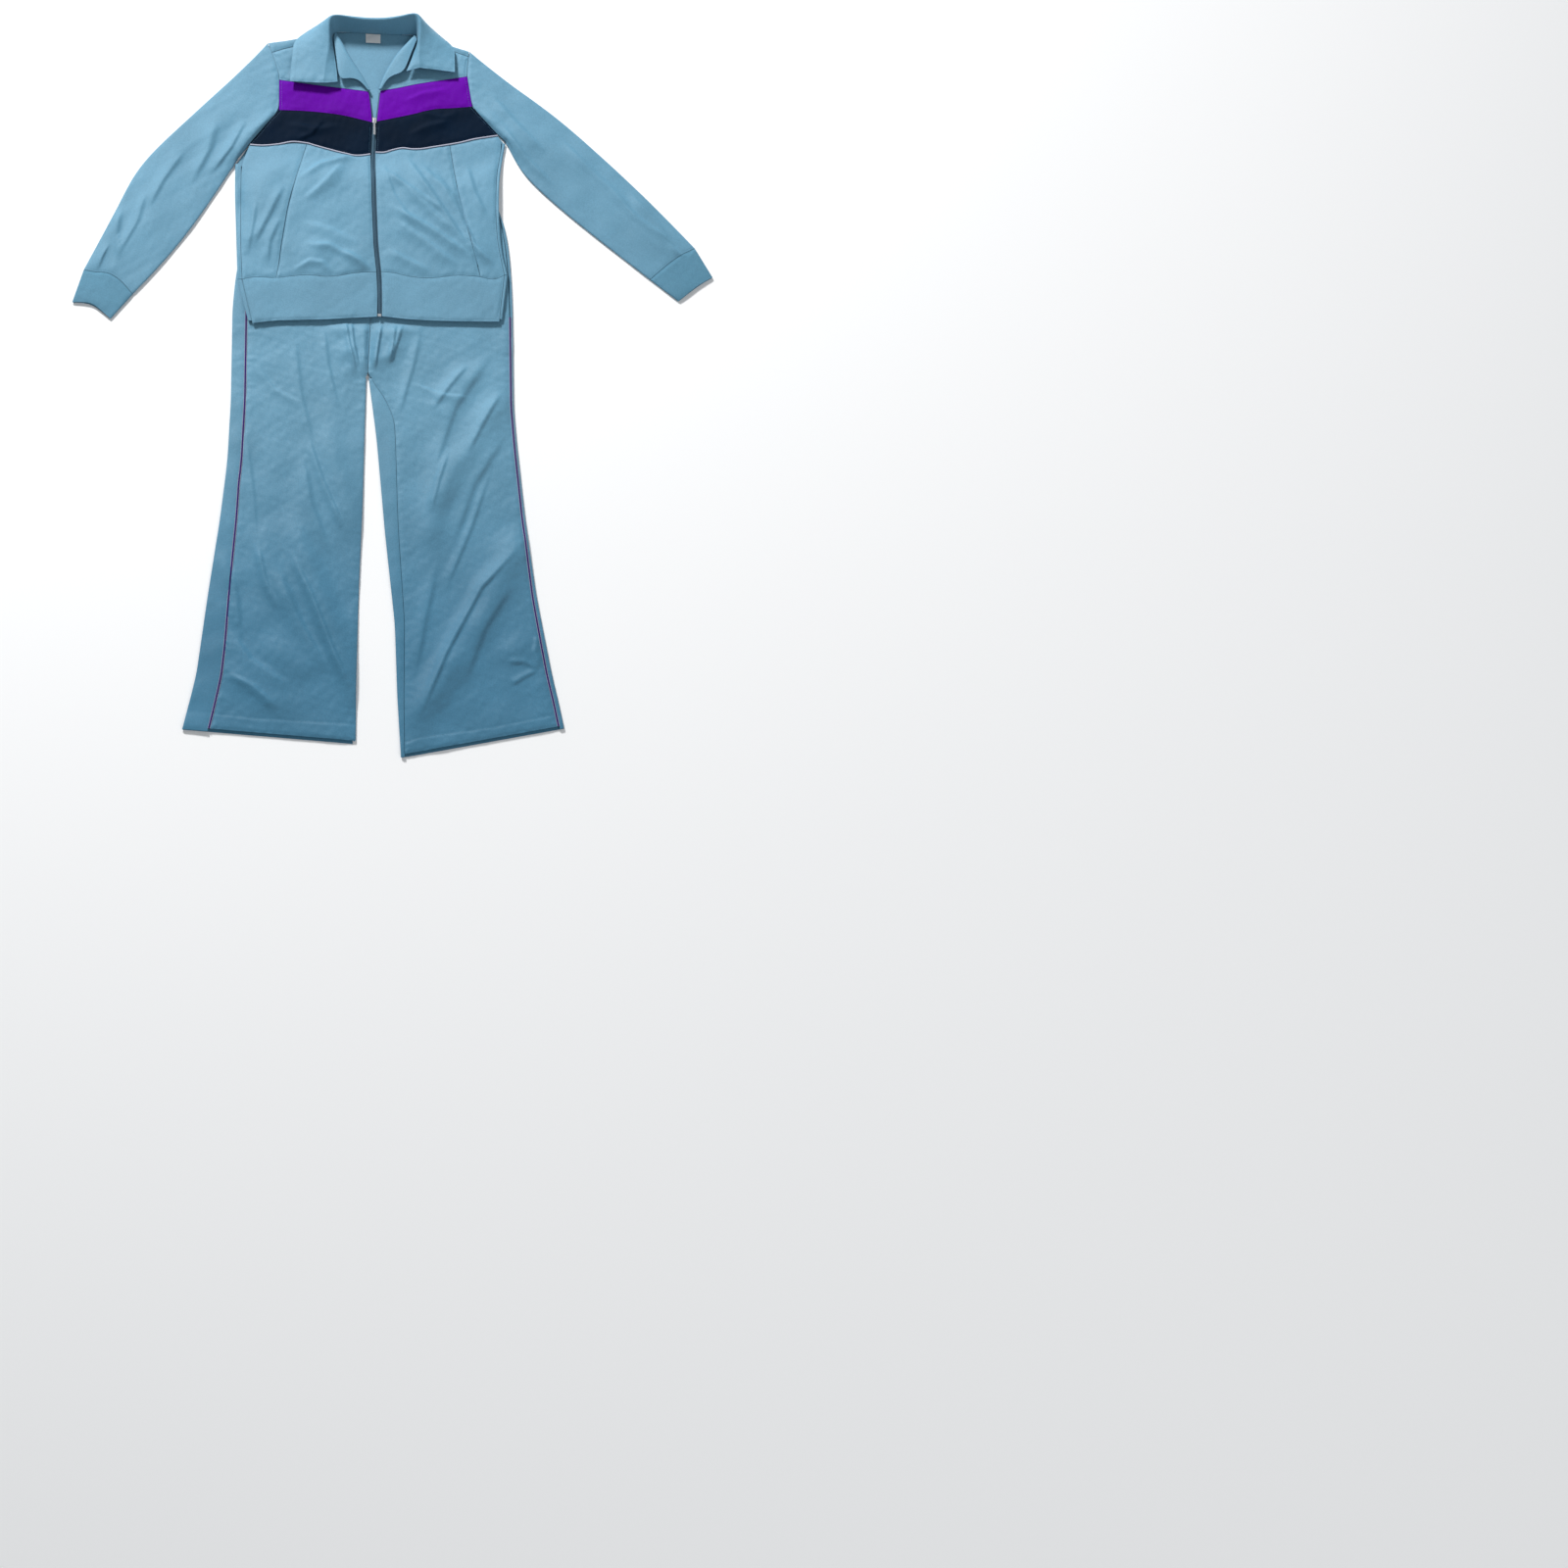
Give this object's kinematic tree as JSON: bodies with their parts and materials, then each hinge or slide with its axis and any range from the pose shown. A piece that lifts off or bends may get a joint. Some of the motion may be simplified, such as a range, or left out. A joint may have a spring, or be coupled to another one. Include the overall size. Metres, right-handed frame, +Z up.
{
  "type": "tracksuit",
  "caption": "Two-piece tracksuit laid flat: zip jacket with fold-down collar and chest bands, over flared trousers with side piping.",
  "frame": {"origin": "on the surface that the suit lies on, under the middle of its bounding box", "axes": "+Y towards the collar, +X towards the wearer's left sleeve, +Z up from the surface"},
  "size_m": [1.157, 1.408, 0.04],
  "materials": {
    "blue_jersey": "smooth grey-blue warp-knit jersey with a soft shine",
    "blue_jersey_trousers": "smooth grey-blue warp-knit jersey with a soft shine",
    "blue_band": "doubled grey-blue jersey",
    "blue_cuff": "doubled grey-blue jersey",
    "black_jersey": "smooth blue-black jersey",
    "purple_jersey": "smooth bright purple jersey",
    "pale_piping": "pale lilac piping",
    "purple_piping": "dark purple piping",
    "zip_tape": "woven zip tape",
    "zip_coil": "moulded zip coil",
    "silver_metal": "bright plated metal",
    "white_label": "blank woven label"
  },
  "bodies": {
    "suit": {"jacket_back": "blue_jersey", "back_hem_band": "blue_band", "right_hem_band": "blue_band", "left_hem_band": "blue_band", "right_front_side": "blue_jersey", "left_front_side": "blue_jersey", "right_front_centre": "blue_jersey", "left_front_centre": "blue_jersey", "right_black_band": "black_jersey", "left_black_band": "black_jersey", "right_purple_band": "purple_jersey", "left_purple_band": "purple_jersey", "right_yoke": "blue_jersey", "left_yoke": "blue_jersey", "right_pocket_bag": "blue_jersey", "left_pocket_bag": "blue_jersey", "right_band_piping": "pale_piping", "left_band_piping": "pale_piping", "right_sleeve": "blue_jersey", "left_sleeve": "blue_jersey", "right_cuff": "blue_cuff", "left_cuff": "blue_cuff", "collar": "blue_jersey", "neck_label": "white_label", "right_zip_tape": "zip_tape", "left_zip_tape": "zip_tape", "zip_coil": "zip_coil", "zip_slider": "silver_metal", "zip_bridge": "silver_metal", "zip_stop": "silver_metal", "right_leg_front": "blue_jersey_trousers", "left_leg_front": "blue_jersey_trousers", "right_leg_back": "blue_jersey_trousers", "left_leg_back": "blue_jersey_trousers", "right_leg_piping": "purple_piping", "left_leg_piping": "purple_piping", "waistband": "blue_band"},
    "pull": {"zip_pull": "silver_metal"}
  },
  "joints": [
    {"name": "pull_flip", "type": "hinge", "parent": "suit", "child": "pull", "pos_m": [-0.0442, 0.49097, 0.0108], "axis": [-1, 0, 0], "range_deg": [0, 150]}
  ]
}
